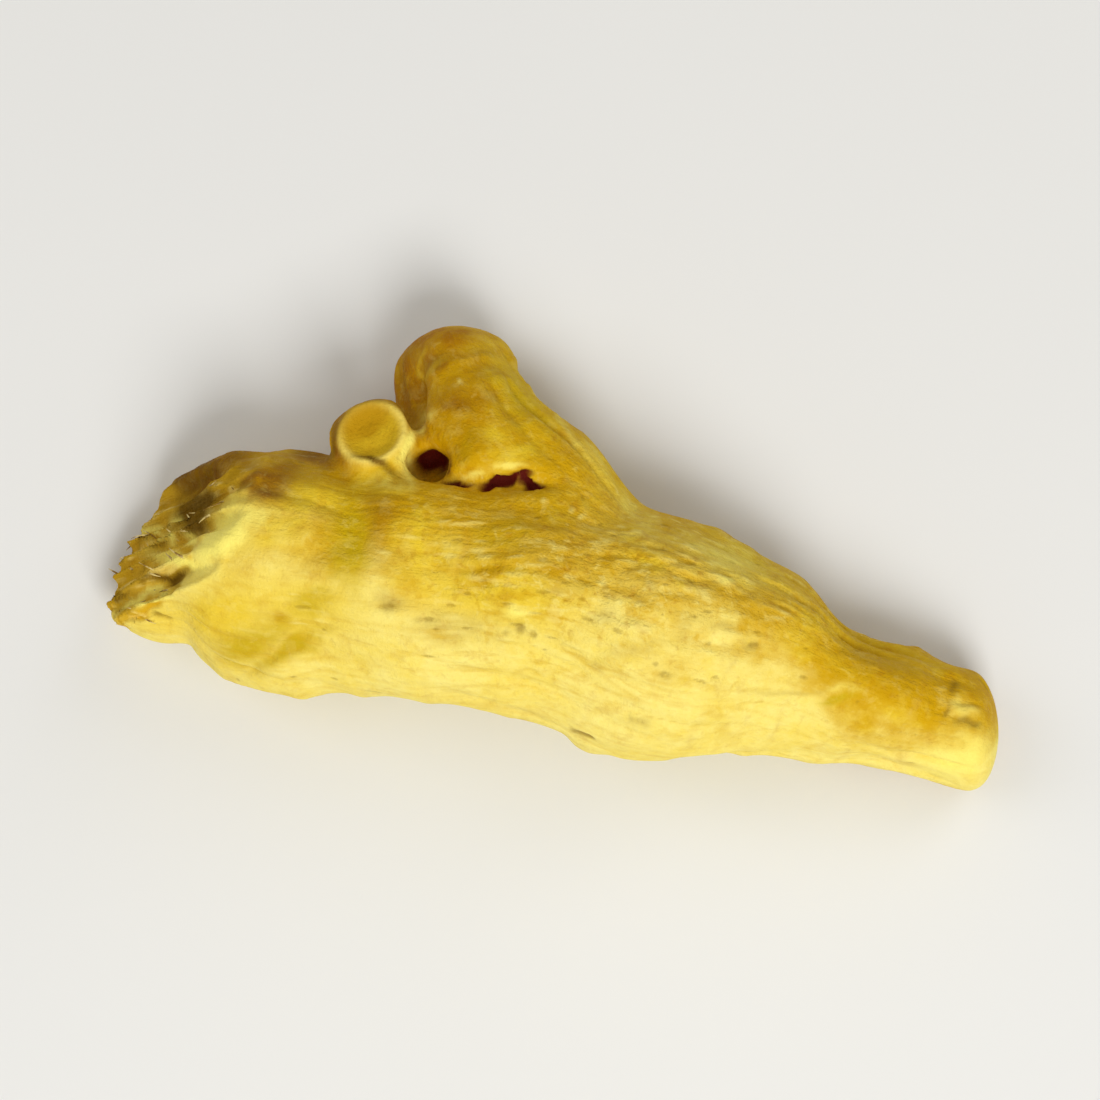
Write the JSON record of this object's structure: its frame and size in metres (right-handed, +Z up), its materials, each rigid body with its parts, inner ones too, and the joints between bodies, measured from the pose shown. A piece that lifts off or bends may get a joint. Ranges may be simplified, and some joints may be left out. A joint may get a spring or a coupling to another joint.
{
  "type": "turmeric root",
  "caption": "Dried turmeric rhizome lying flat: a tapering knobbly body with a torn fibrous end, a blunt tip, a side finger and a snapped-off stub.",
  "frame": {"origin": "middle of the bounding box's base, on the surface that the root lies on", "axes": "+X along the body from its torn end to its blunt tip, +Y the way the side finger grows, +Z up"},
  "size_m": [0.07, 0.0368, 0.0186],
  "materials": {
    "turmeric_skin": "dry dusty yellow rind, matt with a faint waxy sheen, ochre in the folds and brown at the scars"
  },
  "bodies": {
    "root": {"turmeric_root": "turmeric_skin"}
  },
  "joints": []
}
